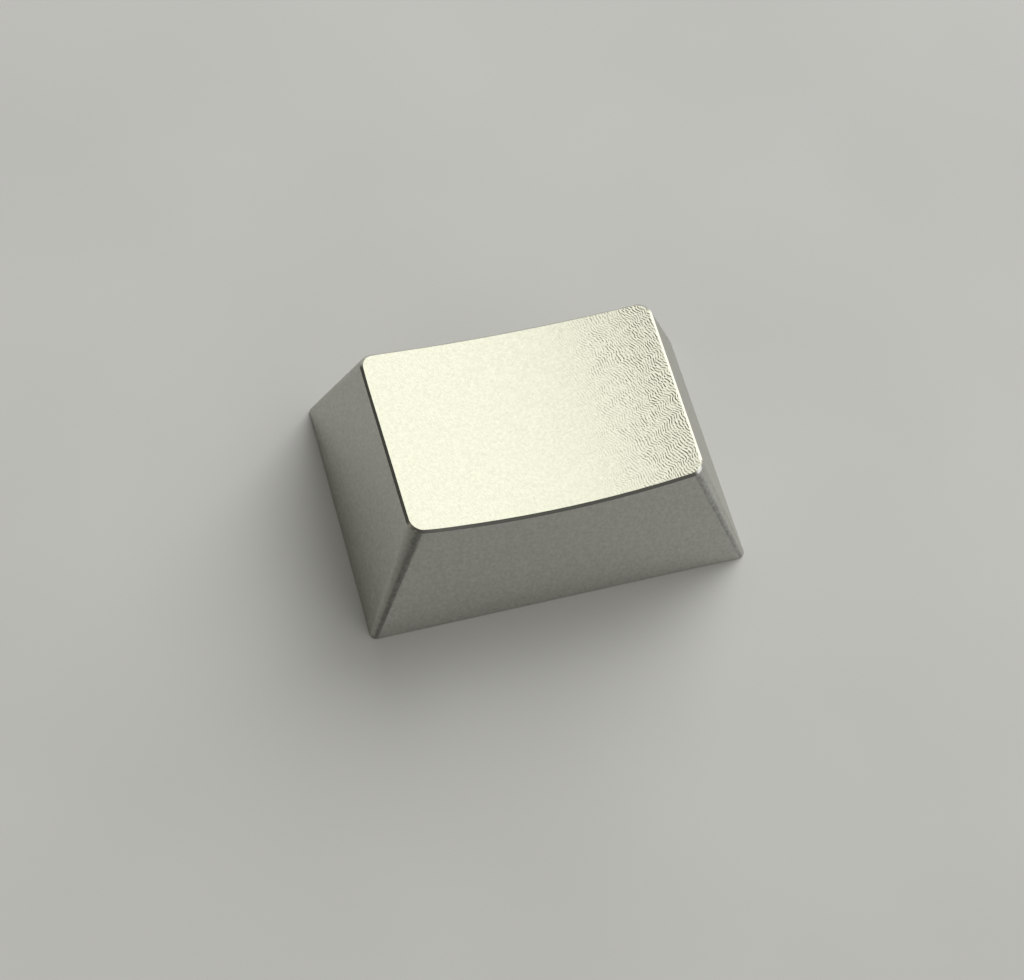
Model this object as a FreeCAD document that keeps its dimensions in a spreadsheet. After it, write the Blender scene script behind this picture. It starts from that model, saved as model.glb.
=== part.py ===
import FreeCAD, Part
import math
import os

import Sketcher

# A metal keycap, one key unit and a half wide, machined from one block.
# Origin at the middle of the rim, +X to the right, +Y to the back, +Z up. Millimetres and degrees.

DIMENSIONS = (
    ("base_width", 27.55, "rim, left to right"),
    ("base_depth", 18.1, "rim, front to back"),
    ("side_lean", 24.8, "inward lean of the left and right walls"),
    ("front_lean", 31.3, "inward lean of the front wall"),
    ("back_lean", 0.7, "inward lean of the back wall"),
    ("rim_corner", 0.5, "rounding of the outer corners at the rim"),
    ("top_corner", 1.0, "rounding of the outer corners at the lowest line of the dish"),
    ("dish_height", 6.4, "lowest line of the dish above the middle of the rim"),
    ("dish_radius", 87.5, "curve of the dish across the key"),
    ("dish_tilt", 1.2, "slope of the dish down towards the back"),
    ("top_chamfer", 0.15, "edge break round the dish"),
    ("rim_chamfer", 0.06, "edge break round the outside of the rim"),
    ("rim_width", 1.3, "rim that the hollow leaves, with its edge break"),
    ("roof", 1.5, "metal left between the hollow and the dish"),
    ("hollow_corner", 1.0, "rounding of the hollow's upright corners"),
    ("ceiling_fillet", 0.5, "rounding of the hollow's ceiling edge"),
    ("post_wall", 0.7, "metal round the ends of the socket's arms"),
    ("post_recess", 0.6, "end of the stem post above the rim"),
    ("post_fillet", 0.3, "rounding where the post meets the ceiling"),
    ("socket_length", 4.1, "both arms of the cross socket, end to end"),
    ("socket_width_x", 1.31, "width of the arm that runs left to right"),
    ("socket_width_y", 1.17, "width of the arm that runs front to back"),
    ("socket_depth", 3.8, "depth of the cross socket"),
    ("socket_lead", 0.15, "chamfer at the mouth of the cross socket and round the post's end"),
)

UP = FreeCAD.Vector(0, 0, 1)
RIGHT = FreeCAD.Vector(1, 0, 0)
TOLERANCE = 1e-6

# Points that a sketch constraint can name, and the sketch's own origin.
START, END, CENTRE = 1, 2, 3
ORIGIN = (-1, START)

# Sizes that follow from the driving dimensions, as formulas. The blank is what the dish is cut from.
DISH_RISE = "dims.dish_radius - sqrt(dims.dish_radius ^ 2 - dims.base_width ^ 2 / 4)"
TILT_RISE = "dims.base_depth * tan(dims.dish_tilt)"
BLANK_HEIGHT = f"(dims.dish_height + {DISH_RISE} + {TILT_RISE})"
WALL_RISE = f"({BLANK_HEIGHT} - dims.rim_chamfer)"
BLANK_WIDTH = f"dims.base_width - 2 * {WALL_RISE} * tan(dims.side_lean)"
BLANK_DEPTH = f"dims.base_depth - {WALL_RISE} * (tan(dims.front_lean) + tan(dims.back_lean))"
BLANK_SETBACK = f"{WALL_RISE} * (tan(dims.front_lean) - tan(dims.back_lean)) / 2"
CORNER_GROWTH = "(dims.top_corner - dims.rim_corner) / dims.dish_height"
BLANK_CORNER = f"dims.rim_corner + {CORNER_GROWTH} * {WALL_RISE}"
FOOT_WIDTH = "dims.base_width - 2 * dims.rim_chamfer"
FOOT_DEPTH = "dims.base_depth - 2 * dims.rim_chamfer"
FOOT_CORNER = "dims.rim_corner - dims.rim_chamfer"
CEILING = "(dims.dish_height - dims.roof)"
MOUTH_WIDTH = "dims.base_width - 2 * dims.rim_width"
MOUTH_DEPTH = "dims.base_depth - 2 * dims.rim_width"
ROOF_WIDTH = f"{MOUTH_WIDTH} - 2 * {CEILING} * tan(dims.side_lean)"
ROOF_DEPTH = f"{MOUTH_DEPTH} - {CEILING} * (tan(dims.front_lean) + tan(dims.back_lean))"
ROOF_SETBACK = f"{CEILING} * (tan(dims.front_lean) - tan(dims.back_lean)) / 2"
POST_RADIUS = "dims.socket_length / 2 + dims.post_wall"

# Where a sketch's plane lies away from its origin plane.
AT_RIM = {}
AT_WALL_FOOT = {"AttachmentOffset.Base.z": "dims.rim_chamfer"}
AT_BLANK_TOP = {"AttachmentOffset.Base.y": BLANK_SETBACK, "AttachmentOffset.Base.z": BLANK_HEIGHT}
AT_ROOF = {"AttachmentOffset.Base.y": ROOF_SETBACK, "AttachmentOffset.Base.z": CEILING}
AT_POST_END = {"AttachmentOffset.Base.z": "dims.post_recess"}
AT_DISH_AXIS = {
    "AttachmentOffset.Base.y": "dims.dish_height + dims.dish_radius / cos(dims.dish_tilt)",
    "AttachmentOffset.Rotation.Angle": "dims.dish_tilt",
}


def add_sheet(doc):
    """Write the driving dimensions as a sheet with one named cell each."""
    sheet = doc.addObject("Spreadsheet::Sheet", "dims")
    for row, (alias, value, meaning) in enumerate(DIMENSIONS, start=1):
        sheet.set(f"A{row}", meaning)
        sheet.set(f"B{row}", str(value))
        sheet.setAlias(f"B{row}", alias)
    doc.recompute()


def bind(thing, expressions):
    """Tie properties of a sketch or feature to formulas over the sheet."""
    for path, expression in expressions.items():
        thing.setExpression(path, expression)


def origin_plane(body, role):
    """Return the body's own origin plane with this role."""
    return next(item for item in body.Origin.OriginFeatures if item.Role == role)


def add_sketch(body, name, role, turn_axis=UP):
    """Add an empty sketch on one of the body's origin planes, which may be turned about an axis."""
    sketch = body.newObject("Sketcher::SketchObject", name)
    sketch.AttachmentSupport = [(origin_plane(body, role), "")]
    sketch.MapMode = "FlatFace"
    sketch.AttachmentOffset = FreeCAD.Placement(FreeCAD.Vector(), FreeCAD.Rotation(turn_axis, 0))
    return sketch


def level_and_upright(sketch, level, upright):
    """Keep lines of a sketch along its two axes."""
    for line in level:
        sketch.addConstraint(Sketcher.Constraint("Horizontal", line))
    for line in upright:
        sketch.addConstraint(Sketcher.Constraint("Vertical", line))


def add_rectangle(body, name, width, depth, offset):
    """Sketch a level rectangle about the middle of its plane."""
    sketch = add_sketch(body, name, "XY_Plane")
    corners = [FreeCAD.Vector(x, y, 0) for x, y in ((-1, -1), (1, -1), (1, 1), (-1, 1))]
    for start, end in zip(corners, corners[1:] + corners[:1]):
        sketch.addGeometry(Part.LineSegment(start, end), False)
    front, right, back, left = range(len(corners))
    for line, following in ((front, right), (right, back), (back, left), (left, front)):
        sketch.addConstraint(Sketcher.Constraint("Coincident", line, END, following, START))
    level_and_upright(sketch, (front, back), (right, left))
    sketch.addConstraint(Sketcher.Constraint("Symmetric", front, START, right, END, *ORIGIN))
    size = corners[2] - corners[0]
    width_row = sketch.addConstraint(Sketcher.Constraint("DistanceX", front, START, front, END, size.x))
    depth_row = sketch.addConstraint(Sketcher.Constraint("DistanceY", right, START, right, END, size.y))
    bind(sketch, {f"Constraints[{width_row}]": width, f"Constraints[{depth_row}]": depth})
    bind(sketch, offset)
    return sketch


def add_rounded_rectangle(body, name, width, depth, radius, offset):
    """Sketch a level rectangle with four equal round corners about the middle of its plane."""
    sketch = add_sketch(body, name, "XY_Plane")
    side, rounding, quarter = 4.0, 1.0, math.pi / 2
    lines, arcs = [], []
    for turn in range(4):
        turned = FreeCAD.Rotation(UP, math.degrees(turn * quarter))
        ends = [turned.multVec(FreeCAD.Vector(x, -side / 2 - rounding, 0)) for x in (-side / 2, side / 2)]
        centre = turned.multVec(FreeCAD.Vector(side / 2, -side / 2, 0))
        circle = Part.Circle(centre, UP, rounding)
        lines.append(sketch.addGeometry(Part.LineSegment(*ends), False))
        arc = Part.ArcOfCircle(circle, (turn - 1) * quarter, turn * quarter)
        arcs.append(sketch.addGeometry(arc, False))
    front, right, back, left = lines
    for line, arc, following in zip(lines, arcs, lines[1:] + lines[:1]):
        sketch.addConstraint(Sketcher.Constraint("Tangent", line, END, arc, START))
        sketch.addConstraint(Sketcher.Constraint("Tangent", arc, END, following, START))
    for arc in arcs[1:]:
        sketch.addConstraint(Sketcher.Constraint("Equal", arcs[0], arc))
    level_and_upright(sketch, (front, back), (right, left))
    sketch.addConstraint(Sketcher.Constraint("Symmetric", arcs[0], CENTRE, arcs[2], CENTRE, *ORIGIN))
    size = side + 2 * rounding
    sizes = (
        (Sketcher.Constraint("DistanceX", left, START, right, START, size), width),
        (Sketcher.Constraint("DistanceY", front, START, back, START, size), depth),
        (Sketcher.Constraint("Radius", arcs[0], rounding), radius),
    )
    for constraint, expression in sizes:
        row = sketch.addConstraint(constraint)
        bind(sketch, {f"Constraints[{row}]": expression})
    bind(sketch, offset)
    return sketch


def add_circle(body, name, role, radius, offset, turn_axis=UP):
    """Sketch a circle about the origin of its plane."""
    sketch = add_sketch(body, name, role, turn_axis)
    circle = Part.Circle(FreeCAD.Vector(), UP, 1.0)
    row = sketch.addGeometry(circle, False)
    sketch.addConstraint(Sketcher.Constraint("Coincident", row, CENTRE, *ORIGIN))
    radius_row = sketch.addConstraint(Sketcher.Constraint("Radius", row, circle.Radius))
    bind(sketch, {f"Constraints[{radius_row}]": radius})
    bind(sketch, offset)
    return sketch


def add_feature(body, kind, name, expressions, **settings):
    """Add a feature, set it up, tie its sizes to the sheet and rebuild the body."""
    feature = body.newObject(f"PartDesign::{kind}", name)
    for key, value in settings.items():
        setattr(feature, key, value)
    bind(feature, expressions)
    body.Document.recompute()
    return feature


def cut(body, kind, name, expressions, **settings):
    """Add a feature that takes material away, and make sure that it does."""
    before = body.Shape.Volume
    add_feature(body, kind, name, expressions, **settings)
    if not body.Shape.Volume < before:
        raise RuntimeError(f"{name} cuts nothing")


def fillet(body, name, edges, radius):
    """Round edges of the body as it stands."""
    add_feature(body, "Fillet", name, {"Radius": radius}, Base=(body.Tip, edges))


def chamfer(body, name, edges, size):
    """Break edges of the body as it stands."""
    add_feature(body, "Chamfer", name, {"Size": size}, Base=(body.Tip, edges))


def faces_looking_down(shape):
    """Return the flat faces that look straight down, from the lowest to the highest."""
    flat = [face for face in shape.Faces if isinstance(face.Surface, Part.Plane)]
    faces = [face for face in flat if (face.normalAt(0, 0) + UP).Length < TOLERANCE]
    return sorted(faces, key=lambda face: face.CenterOfMass.z)


def edges_where(shape, test):
    """Name the edges that pass a test."""
    return [f"Edge{row}" for row, edge in enumerate(shape.Edges, start=1) if test(edge)]


def names_of(shape, edges):
    """Name edges that were found on the faces of a shape."""
    return edges_where(shape, lambda edge: any(edge.isSame(other) for other in edges))


def rises(edge):
    """Tell whether an edge climbs from one height to another."""
    return edge.BoundBox.ZLength > TOLERANCE


def reaches(edge, face):
    """Tell whether the top of an edge is at a level face's height."""
    return abs(edge.BoundBox.ZMax - face.CenterOfMass.z) < TOLERANCE


def add_blank(body):
    """Build the outer form, still flat on top: leaning walls whose round corners widen upwards."""
    outlines = (
        ("foot_outline", FOOT_WIDTH, FOOT_DEPTH, FOOT_CORNER, AT_RIM),
        ("wall_outline", "dims.base_width", "dims.base_depth", "dims.rim_corner", AT_WALL_FOOT),
        ("blank_outline", BLANK_WIDTH, BLANK_DEPTH, BLANK_CORNER, AT_BLANK_TOP),
    )
    foot, *above = [add_rounded_rectangle(body, *outline) for outline in outlines]
    add_feature(body, "AdditiveLoft", "blank", {}, Profile=foot, Sections=above, Ruled=True)


def add_dish(body):
    """Cut the cylindrical dish, which slopes down towards the back, and break its edge all round."""
    circle = add_circle(body, "dish_circle", "XZ_Plane", "dims.dish_radius", AT_DISH_AXIS, -RIGHT)
    cut(body, "Pocket", "dish", {}, Profile=circle, Type="ThroughAll", SideType="Symmetric")
    dish = max(body.Shape.Faces, key=lambda face: face.CenterOfMass.z)
    chamfer(body, "dish_edge", names_of(body.Shape, dish.Edges), "dims.top_chamfer")


def add_hollow(body):
    """Cut the hollow underside, its walls parallel to the outer ones."""
    mouth = add_rectangle(body, "hollow_mouth", MOUTH_WIDTH, MOUTH_DEPTH, AT_RIM)
    roof = add_rectangle(body, "hollow_roof", ROOF_WIDTH, ROOF_DEPTH, AT_ROOF)
    cut(body, "SubtractiveLoft", "hollow", {}, Profile=mouth, Sections=[roof], Ruled=True)
    ceiling = faces_looking_down(body.Shape)[-1]
    uprights = edges_where(body.Shape, lambda edge: rises(edge) and reaches(edge, ceiling))
    fillet(body, "hollow_corners", uprights, "dims.hollow_corner")
    ceiling = faces_looking_down(body.Shape)[-1]
    fillet(body, "hollow_ceiling", names_of(body.Shape, ceiling.Edges), "dims.ceiling_fillet")


def add_post(body):
    """Hang the round stem post from the ceiling of the hollow."""
    outline = add_circle(body, "post_outline", "XY_Plane", POST_RADIUS, AT_POST_END)
    add_feature(body, "Pad", "post", {"Length": f"{CEILING} - dims.post_recess"}, Profile=outline)
    ceiling = faces_looking_down(body.Shape)[-1]
    root = [edge for edge in ceiling.Edges if edge.isClosed()]
    fillet(body, "post_root", names_of(body.Shape, root), "dims.post_fillet")


def add_socket(body):
    """Cut the cross socket into the end of the post, with a lead-in at its mouth."""
    arms = (
        ("socket_across", "dims.socket_length", "dims.socket_width_x"),
        ("socket_along", "dims.socket_width_y", "dims.socket_length"),
    )
    for name, width, depth in arms:
        outline = add_rectangle(body, f"{name}_outline", width, depth, AT_POST_END)
        cut(body, "Pocket", name, {"Length": "dims.socket_depth"}, Profile=outline, Reversed=True)
    # The rim is the lowest face that looks down, and the end of the post comes next above it.
    post_end = faces_looking_down(body.Shape)[1]
    chamfer(body, "socket_lead_in", names_of(body.Shape, post_end.Edges), "dims.socket_lead")


def build_keycap(doc):
    """Build the keycap as one body."""
    body = doc.addObject("PartDesign::Body", "keycap")
    body.Label = "keycap"
    add_blank(body)
    add_dish(body)
    add_hollow(body)
    add_post(body)
    add_socket(body)
    return body


def check(doc, body):
    """Stop if any object failed or the solid is not sound."""
    failed = [item.Name for item in doc.Objects if {"Invalid", "Error"} & set(item.State)]
    if failed:
        raise RuntimeError(f"failed: {failed}")
    if body.Shape.isNull() or not body.Shape.isValid():
        raise RuntimeError(f"{body.Label} has no valid shape")


def main():
    doc = FreeCAD.newDocument("keycap_model")
    add_sheet(doc)
    keycap = build_keycap(doc)
    check(doc, keycap)
    os.makedirs("parts", exist_ok=True)
    keycap.Shape.exportStep(f"parts/{keycap.Label}.step")
    box = keycap.Shape.optimalBoundingBox()
    print(f"{keycap.Label}: {box.XLength:.2f} x {box.YLength:.2f} x {box.ZLength:.2f} mm, "
          f"{keycap.Shape.Volume:.1f} mm3, {len(keycap.Shape.Solids)} solid")


main()
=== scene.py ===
import math

import bpy
from mathutils import Matrix, Vector

# A metal keycap on a pale floor: bright milled dish, bright edge break, bead-blasted walls.
# Sizes in the shaders are in millimetres in the keycap's own frame, all others are in metres.

MM = 0.001

# Camera as fitted to the photograph: it looks down on the keycap from the front left.
VIEW_AZIMUTH = math.radians(-32.636)
VIEW_ELEVATION = math.radians(64.581)
VIEW_ROLL = math.radians(18.24)
VIEW_DISTANCE = 146.505 * MM
VIEW_TARGET = Vector((-1.197, -0.354, 0.0)) * MM
LENS = 72.38
SENSOR_WIDTH = 36.0
CLIP_START = 0.01
CLIP_END = 100.0

# How far up a face looks tells which finish it has: the dish looks up most, then its edge break, then
# the walls, which all lean inwards, and the faces of the hollow look level or down. The limit between
# edge break and wall falls from the front, where the wall leans most, to the upright back.
EDGE_LEVEL = 5.0
DISH_FACING = 0.95
EDGE_FACING = (0.70, 0.62)
EDGE_SPAN = (-5.0, 8.8)
HOLLOW_FACING = 0.006

# Edges that turn less than this are shaded as one curved face.
CREASE = math.radians(24.0)
WELD = 0.001 * MM

# The span of a noise that is spread over the whole range of what it drives, and the span for waves.
NOISE_SPAN = (0.3, 0.7)
WAVE_SPAN = (0.25, 0.75)

# Cutter marks in the dish: fine wavy furrows, broken into short strokes by rows that are staggered.
# They deepen towards the right, over this span of X, and in patches.
FURROW_HEADING = math.radians(25.0)
FURROW_PITCH = 0.21
FURROW_SLOPE = (0.03, 0.22)
FURROW_SPAN = (1.0, 10.5)
FURROW_PATCH_SCALE = 1.3
FURROW_PATCH_DEPTH = (0.45, 1.0)
FURROW_WAVE = 0.24
FURROW_WAVE_SCALE = 1.1
FURROW_WAVE_STRETCH = 0.25
# Painted shade darkens one flank of each furrow.
FURROW_PAINTED_SHADE = (0.93, 1.0)
ROW_SPACING = 0.38
ROW_RADIUS = 6.0
ROW_STAGGER = 0.5
ROW_JITTER = 0.45
ROW_WAVE = 0.28
ROW_WAVE_SCALE = 2.4
ROW_EDGE_POWER = 3.0
DISH_GRAIN_SCALE = 4.2
DISH_GRAIN_TONE = (0.85, 1.0)
DISH_COLOR = (0.945, 0.945, 0.875)
EDGE_COLOR = (0.74, 0.74, 0.68, 1.0)
MILLED_ROUGHNESS = (0.12, 0.17)

# Walls: level steps that the cutter left, under blasted grain with faint level streaks.
STEP_HEIGHT = 0.28
STEP_CUTTER_RADIUS = 5.0
STEP_SWAY = 0.02
WALL_GRAIN_SCALE = 12.0
WALL_GRAIN_SPAN = (0.2, 0.8)
WALL_GRAIN_DEPTH = 0.007 * MM
STREAK_STRETCH = (0.35, 0.35, 5.0)
STREAK_SHARE = 0.5
WALL_TONE_SCALE = 4.0
WALL_COLORS = ((0.47, 0.47, 0.436, 1.0), (0.60, 0.60, 0.556, 1.0))
WALL_ROUGHNESS = (0.36, 0.44)

# Painted dark reflection in a darker strip along both front corners, by the sine of the turn from the front
# wall to the side wall.
STRIP_START = (0.05, 0.2)
STRIP_END = (0.45, 0.75)
STRIP_SCALE = 5.0
STRIP_PAINTED_REFLECTION = (0.5, 0.8)

# Hollow and rim, in faint patches.
PATCH_SCALE = 3.0
HOLLOW_COLORS = ((0.62, 0.62, 0.585, 1.0), (0.71, 0.71, 0.67, 1.0))
HOLLOW_ROUGHNESS = (0.26, 0.36)

# Pale paper on the floor, with faint clouds.
FLOOR_SIZE = 6.0
CLOUD_SCALE = 0.04
FLOOR_COLORS = ((0.51, 0.51, 0.505, 1.0), (0.54, 0.54, 0.535, 1.0))
FLOOR_ROUGHNESS = 0.9
FLOOR_SPECULAR = 0.1

# Window light. The glows of the room stand for it in reflections.
WINDOW_AZIMUTH = math.radians(38.0)
WINDOW_ELEVATION = math.radians(21.0)
WINDOW_DISTANCE = 1.1
WINDOW_SIZE = (0.9, 0.76)
WINDOW_POWER = 19.4

# Dim room. Each glow has a direction, the cosines at its edge and core, and a colour. From the camera the
# dish mirrors the first and the right edge break the second. The others fill in from the right, the front,
# the back and the left.
ROOM_COLOR = (0.064, 0.062, 0.056)
GLOWS = (
    (Vector((0.58, 0.30, 0.757)), 0.69, 0.96, (1.075, 1.075, 0.935)),
    (Vector((0.88, 0.41, 0.21)), 0.88, 1.0, (1.23, 1.21, 1.11)),
    (Vector((0.80, -0.50, 0.33)), 0.80, 1.0, (0.95, 0.95, 0.99)),
    (Vector((0.25, -0.95, 0.2)), 0.5, 1.0, (0.08, 0.08, 0.08)),
    (Vector((-0.15, 0.92, 0.36)), 0.8, 1.0, (0.4, 0.4, 0.37)),
    (Vector((-0.80, -0.30, 0.52)), 0.75, 1.0, (0.18, 0.175, 0.15)),
)


class Graph:
    """One node tree. Inputs take numbers, tuples or the outputs of other nodes."""

    def __init__(self, tree):
        self.tree = tree
        tree.nodes.clear()

    def node(self, kind, inputs=None, **settings):
        made = self.tree.nodes.new(kind)
        for key, value in settings.items():
            setattr(made, key, value)
        for key, value in (inputs or {}).items():
            self.feed(made.inputs[key], value)
        return made

    def feed(self, socket, value):
        if isinstance(value, bpy.types.NodeSocket):
            self.tree.links.new(value, socket)
        else:
            socket.default_value = value

    def math(self, operation, a, b=0.0):
        return self.node("ShaderNodeMath", {0: a, 1: b}, operation=operation).outputs[0]

    def vector(self, operation, a, b=(0.0, 0.0, 0.0)):
        return self.node("ShaderNodeVectorMath", {0: a, 1: b}, operation=operation).outputs["Vector"]

    def dot(self, a, b):
        made = self.node("ShaderNodeVectorMath", {0: a, 1: tuple(b)}, operation="DOT_PRODUCT")
        return made.outputs["Value"]

    def scale(self, vector, factor):
        made = self.node("ShaderNodeVectorMath", {"Vector": vector, "Scale": factor}, operation="SCALE")
        return made.outputs["Vector"]

    def ramp(self, value, low, high, to_low=0.0, to_high=1.0, shape="SMOOTHSTEP"):
        inputs = {"Value": value, "From Min": low, "From Max": high, "To Min": to_low, "To Max": to_high}
        return self.node("ShaderNodeMapRange", inputs, interpolation_type=shape).outputs["Result"]

    def spread(self, noise, to_low=0.0, to_high=1.0, span=NOISE_SPAN):
        """Spread a noise evenly over a range."""
        return self.ramp(noise, *span, to_low, to_high, "LINEAR")

    def mix(self, factor, a, b):
        """Blend two numbers."""
        return self.node("ShaderNodeMix", {0: factor, 2: a, 3: b}, data_type="FLOAT").outputs[0]

    def mix_vector(self, factor, a, b):
        return self.node("ShaderNodeMix", {0: factor, 4: a, 5: b}, data_type="VECTOR").outputs[1]

    def mix_color(self, factor, a, b):
        return self.node("ShaderNodeMix", {0: factor, 6: a, 7: b}, data_type="RGBA").outputs[2]

    def noise(self, position, scale, detail=2.0, roughness=0.5):
        inputs = {"Vector": position, "Scale": scale, "Detail": detail, "Roughness": roughness}
        return self.node("ShaderNodeTexNoise", inputs).outputs[0]

    def random(self, number):
        return self.node("ShaderNodeTexWhiteNoise", {"W": number}, noise_dimensions="1D").outputs["Value"]

    def split(self, vector):
        return self.node("ShaderNodeSeparateXYZ", {0: vector}).outputs

    def place(self):
        """Where a point is on its object, in millimetres."""
        return self.scale(self.node("ShaderNodeTexCoord").outputs["Object"], 1 / MM)

    def surface(self, inputs):
        shader = self.node("ShaderNodeBsdfPrincipled", inputs)
        self.node("ShaderNodeOutputMaterial", {"Surface": shader.outputs[0]})


def smooth_shading(piece):
    """Shade curved faces smoothly over their facets, keep flat walls flat and creases crisp."""
    tree = bpy.data.node_groups.new("smooth_by_crease", "GeometryNodeTree")
    for flow in ("INPUT", "OUTPUT"):
        tree.interface.new_socket("Geometry", in_out=flow, socket_type="NodeSocketGeometry")
    graph = Graph(tree)
    shape = graph.node("NodeGroupInput").outputs[0]
    facet_normals = {"Geometry": shape, "Name": "custom_normal"}
    shape = graph.node("GeometryNodeRemoveAttribute", facet_normals).outputs[0]
    shape = graph.node("GeometryNodeMergeByDistance", {"Geometry": shape, "Distance": WELD}).outputs[0]
    shape = graph.node("GeometryNodeSetShadeSmooth", {"Geometry": shape}, domain="FACE").outputs[0]
    angle = graph.node("GeometryNodeInputMeshEdgeAngle").outputs["Unsigned Angle"]
    gentle = graph.node("FunctionNodeCompare", {"A": angle, "B": CREASE}, operation="LESS_THAN").outputs[0]
    by_crease = {"Geometry": shape, "Shade Smooth": gentle}
    shape = graph.node("GeometryNodeSetShadeSmooth", by_crease, domain="EDGE").outputs[0]
    graph.node("NodeGroupOutput", {0: shape})
    piece.modifiers.new("smooth_by_crease", "NODES").node_group = tree
    piece.modifiers.new("flat_walls", "WEIGHTED_NORMAL").keep_sharp = True


def new_material(name):
    material = bpy.data.materials.new(name)
    material.use_nodes = True
    return material, Graph(material.node_tree)


def scallop(graph, position, pitch, radius):
    """Slope across a row of shallow scallops of this pitch, cut by a ball cutter of this radius."""
    across = graph.math("SUBTRACT", graph.math("FRACT", graph.math("DIVIDE", position, pitch)), 0.5)
    return graph.math("MULTIPLY", across, pitch / radius)


def milled_face(graph, place, normal):
    """Normal and tone of the dish: wavy furrows in staggered rows, shallow at each row's edge, with painted
    shade on one flank of each furrow and random grain.
    """
    along = Vector((math.cos(FURROW_HEADING), math.sin(FURROW_HEADING), 0.0))
    across = Vector((-along.y, along.x, 0.0))
    feed_place = graph.dot(place, along)
    row_place = graph.dot(place, across)

    # Both the furrows and the rows wander a little.
    stretched = {"X": graph.math("MULTIPLY", feed_place, FURROW_WAVE_STRETCH), "Y": row_place}
    stretched_place = graph.node("ShaderNodeCombineXYZ", stretched).outputs[0]
    waves = graph.noise(stretched_place, FURROW_WAVE_SCALE, detail=1.0)
    wave = graph.spread(waves, -FURROW_WAVE, FURROW_WAVE, WAVE_SPAN)
    feed_place = graph.math("ADD", feed_place, wave)
    waves = graph.noise(place, ROW_WAVE_SCALE, detail=1.0)
    wave = graph.spread(waves, -ROW_WAVE, ROW_WAVE, WAVE_SPAN)
    row_place = graph.math("ADD", row_place, wave)

    rows = graph.math("DIVIDE", row_place, ROW_SPACING)
    row = graph.math("FLOOR", rows)
    across_row = graph.ramp(graph.math("FRACT", rows), 0.0, 1.0, -1.0, 1.0, "LINEAR")
    fade = graph.math("POWER", graph.math("ABSOLUTE", across_row), ROW_EDGE_POWER)
    swell = graph.math("SUBTRACT", 1.0, fade)
    stagger = graph.math("MULTIPLY", row, ROW_STAGGER)
    stagger = graph.math("ADD", stagger, graph.math("MULTIPLY", graph.random(row), ROW_JITTER))
    furrows = graph.math("ADD", graph.math("DIVIDE", feed_place, FURROW_PITCH), stagger)
    turn = graph.math("MULTIPLY", furrows, 2 * math.pi)
    ripple = graph.math("MULTIPLY", graph.math("SINE", turn), swell)

    depth = graph.ramp(graph.split(place)["X"], *FURROW_SPAN, *FURROW_SLOPE)
    patches = graph.ramp(graph.noise(place, FURROW_PATCH_SCALE), *NOISE_SPAN, *FURROW_PATCH_DEPTH)
    depth = graph.math("MULTIPLY", depth, patches)
    slope = graph.vector(
        "ADD",
        graph.scale(tuple(along), graph.math("MULTIPLY", ripple, depth)),
        graph.scale(tuple(across), scallop(graph, row_place, ROW_SPACING, ROW_RADIUS)),
    )
    grain = graph.noise(place, DISH_GRAIN_SCALE, detail=3.0, roughness=0.7)
    # Painted shade on one flank of each furrow, times random grain.
    tone = graph.ramp(ripple, -1.0, 1.0, *FURROW_PAINTED_SHADE, "LINEAR")
    tone = graph.math("MULTIPLY", tone, graph.spread(grain, *DISH_GRAIN_TONE))
    return graph.vector("NORMALIZE", graph.vector("SUBTRACT", normal, slope)), tone


def corner_painted_reflection(graph, place, normal):
    """Painted dark reflection on the outer walls: darker and mottled along the front corners, plain
    elsewhere.
    """
    heading = graph.split(graph.vector("NORMALIZE", graph.vector("MULTIPLY", normal, (1.0, 1.0, 0.0))))
    turn = graph.math("ABSOLUTE", heading["X"])
    strip = graph.math("MULTIPLY", graph.ramp(turn, *STRIP_START), graph.ramp(turn, *STRIP_END, 1.0, 0.0))
    strip = graph.math("MULTIPLY", strip, graph.math("LESS_THAN", heading["Y"], 0.0))
    # The strip's mottled darkening is painted reflection.
    painted_dark = graph.spread(graph.noise(place, STRIP_SCALE, detail=3.0), *STRIP_PAINTED_REFLECTION)
    return graph.mix(strip, 1.0, painted_dark)


def stepped_normal(graph, level, normal):
    """Normal of a wall that was cut in level steps, each swaying a little to one side."""
    step = graph.math("FLOOR", graph.math("DIVIDE", level, STEP_HEIGHT))
    sway = graph.ramp(graph.random(step), 0.0, 1.0, -STEP_SWAY / 2, STEP_SWAY / 2, "LINEAR")
    sideways = graph.vector("CROSS_PRODUCT", (0.0, 0.0, 1.0), normal)
    upwards = graph.vector("CROSS_PRODUCT", normal, sideways)
    tilt = graph.vector(
        "ADD",
        graph.scale(upwards, scallop(graph, level, STEP_HEIGHT, STEP_CUTTER_RADIUS)),
        graph.scale(sideways, sway),
    )
    return graph.vector("NORMALIZE", graph.vector("SUBTRACT", normal, tilt))


def blasted_wall(graph, place, normal, steps):
    """Colour, roughness and normal of the outer walls: blasted grain and level streaks over the steps, and
    painted dark reflection along the front corners.
    """
    grain = graph.noise(place, WALL_GRAIN_SCALE, detail=3.0, roughness=0.6)
    streaks = graph.noise(graph.vector("MULTIPLY", place, STREAK_STRETCH), 1.0)
    relief = graph.math("ADD", grain, graph.math("MULTIPLY", streaks, STREAK_SHARE))
    bump = {"Strength": 1.0, "Distance": WALL_GRAIN_DEPTH, "Height": relief, "Normal": steps}
    blasted = graph.node("ShaderNodeBump", bump).outputs["Normal"]
    roughness = graph.spread(grain, *WALL_ROUGHNESS, WALL_GRAIN_SPAN)
    tone = graph.spread(graph.noise(place, WALL_TONE_SCALE, detail=3.0, roughness=0.7))
    # The front corners carry a painted dark reflection.
    color = graph.scale(graph.mix_color(tone, *WALL_COLORS), corner_painted_reflection(graph, place, normal))
    return color, roughness, blasted


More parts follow.
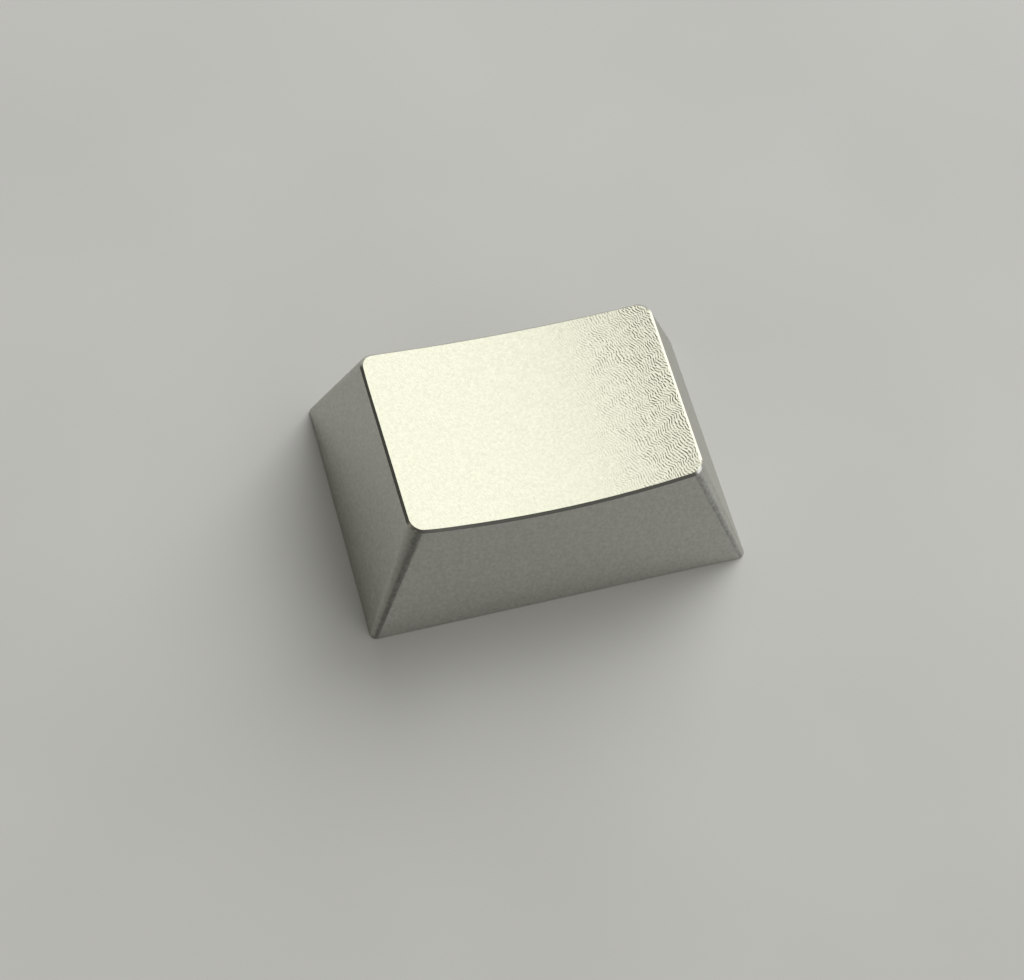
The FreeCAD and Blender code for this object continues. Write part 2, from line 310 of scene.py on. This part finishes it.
def keycap_material():
    """Machined aluminium with a finish of its own on the dish, the edge break, the walls and the hollow."""
    material, graph = new_material("machined_aluminium")
    place = graph.place()
    level = graph.split(place)["Z"]
    geometry = graph.node("ShaderNodeNewGeometry").outputs
    normal = geometry["Normal"]

    # Which finish a point has. The bright faces are the dish and its edge break.
    facing = graph.split(geometry["True Normal"])["Z"]
    edge_facing = graph.ramp(graph.split(place)["Y"], *EDGE_SPAN, *EDGE_FACING, "LINEAR")
    on_top = graph.math("GREATER_THAN", level, EDGE_LEVEL)
    dish = graph.math("MULTIPLY", on_top, graph.math("GREATER_THAN", facing, DISH_FACING))
    bright = graph.math("MULTIPLY", on_top, graph.math("GREATER_THAN", facing, edge_facing))
    hollow = graph.math("LESS_THAN", facing, HOLLOW_FACING)

    steps = stepped_normal(graph, level, normal)
    wall_color, wall_roughness, blasted = blasted_wall(graph, place, normal, steps)
    furrows, dish_shade_and_grain = milled_face(graph, place, normal)
    patches = graph.noise(place, PATCH_SCALE, detail=4.0)

    color = graph.mix_color(hollow, wall_color, graph.mix_color(graph.spread(patches), *HOLLOW_COLORS))
    color = graph.mix_color(bright, color, EDGE_COLOR)
    # The dish colour carries painted shade along its furrows.
    color = graph.mix_color(dish, color, graph.scale(DISH_COLOR, dish_shade_and_grain))
    roughness = graph.mix(hollow, wall_roughness, graph.spread(patches, *HOLLOW_ROUGHNESS))
    roughness = graph.mix(bright, roughness, graph.spread(patches, *MILLED_ROUGHNESS))
    shading = graph.mix_vector(hollow, blasted, steps)
    shading = graph.mix_vector(bright, shading, normal)
    shading = graph.mix_vector(dish, shading, furrows)
    graph.surface({"Base Color": color, "Metallic": 1.0, "Roughness": roughness, "Normal": shading})
    return material


def floor_material():
    material, graph = new_material("pale_paper")
    clouds = graph.spread(graph.noise(graph.place(), CLOUD_SCALE))
    color = graph.mix_color(clouds, *FLOOR_COLORS)
    graph.surface({"Base Color": color, "Roughness": FLOOR_ROUGHNESS, "Specular IOR Level": FLOOR_SPECULAR})
    return material


def add_floor():
    half = FLOOR_SIZE / 2
    corners = [(-half, -half, 0), (half, -half, 0), (half, half, 0), (-half, half, 0)]
    mesh = bpy.data.meshes.new("floor")
    mesh.from_pydata(corners, [], [(0, 1, 2, 3)])
    mesh.materials.append(floor_material())
    floor = bpy.data.objects.new("floor", mesh)
    bpy.context.collection.objects.link(floor)


def direction(azimuth, elevation):
    """Unit vector at an azimuth from +Y towards +X, and an elevation."""
    level = math.cos(elevation)
    return Vector((math.sin(azimuth) * level, math.cos(azimuth) * level, math.sin(elevation)))


def add_window():
    lamp = bpy.data.lights.new("window", "AREA")
    lamp.shape = "RECTANGLE"
    lamp.size, lamp.size_y = WINDOW_SIZE
    lamp.energy = WINDOW_POWER
    towards = direction(WINDOW_AZIMUTH, WINDOW_ELEVATION)
    window = bpy.data.objects.new("window", lamp)
    window.location = towards * WINDOW_DISTANCE
    window.rotation_euler = towards.to_track_quat("Z", "Y").to_euler()
    window.visible_camera = False
    window.visible_glossy = False
    bpy.context.collection.objects.link(window)


def add_room():
    """A dim room with its glows."""
    world = bpy.data.worlds.new("room")
    world.use_nodes = True
    bpy.context.scene.world = world
    graph = Graph(world.node_tree)
    ray = graph.vector("NORMALIZE", graph.node("ShaderNodeTexCoord").outputs["Generated"])
    color = ROOM_COLOR
    for towards, edge, core, glow_color in GLOWS:
        glow = graph.ramp(graph.dot(ray, towards.normalized()), edge, core)
        color = graph.vector("ADD", color, graph.scale(glow_color, glow))
    background = graph.node("ShaderNodeBackground", {"Color": color, "Strength": 1.0})
    graph.node("ShaderNodeOutputWorld", {"Surface": background.outputs[0]})


def add_camera():
    """The view's azimuth is that of the camera, from -Y towards +X."""
    back = direction(math.pi - VIEW_AZIMUTH, VIEW_ELEVATION)
    right = Vector((math.cos(VIEW_AZIMUTH), math.sin(VIEW_AZIMUTH), 0.0))
    turned = Matrix((right, back.cross(right), back)).transposed().to_4x4()
    lens = bpy.data.cameras.new("camera")
    lens.lens = LENS
    lens.sensor_width = SENSOR_WIDTH
    lens.clip_start = CLIP_START
    lens.clip_end = CLIP_END
    camera = bpy.data.objects.new("camera", lens)
    place = Matrix.Translation(VIEW_TARGET + back * VIEW_DISTANCE)
    camera.matrix_world = place @ turned @ Matrix.Rotation(VIEW_ROLL, 4, "Z")
    bpy.context.collection.objects.link(camera)
    bpy.context.scene.camera = camera


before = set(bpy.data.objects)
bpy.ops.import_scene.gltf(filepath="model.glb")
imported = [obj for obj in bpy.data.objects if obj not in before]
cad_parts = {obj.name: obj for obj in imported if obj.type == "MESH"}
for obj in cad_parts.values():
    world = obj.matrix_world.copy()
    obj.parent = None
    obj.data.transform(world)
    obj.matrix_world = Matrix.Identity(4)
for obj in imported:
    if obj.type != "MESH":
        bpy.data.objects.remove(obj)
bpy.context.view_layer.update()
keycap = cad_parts["keycap"]
keycap.material_slots[0].material = keycap_material()
smooth_shading(keycap)
add_floor()
add_window()
add_room()
add_camera()
bpy.context.scene.view_settings.view_transform = "Standard"
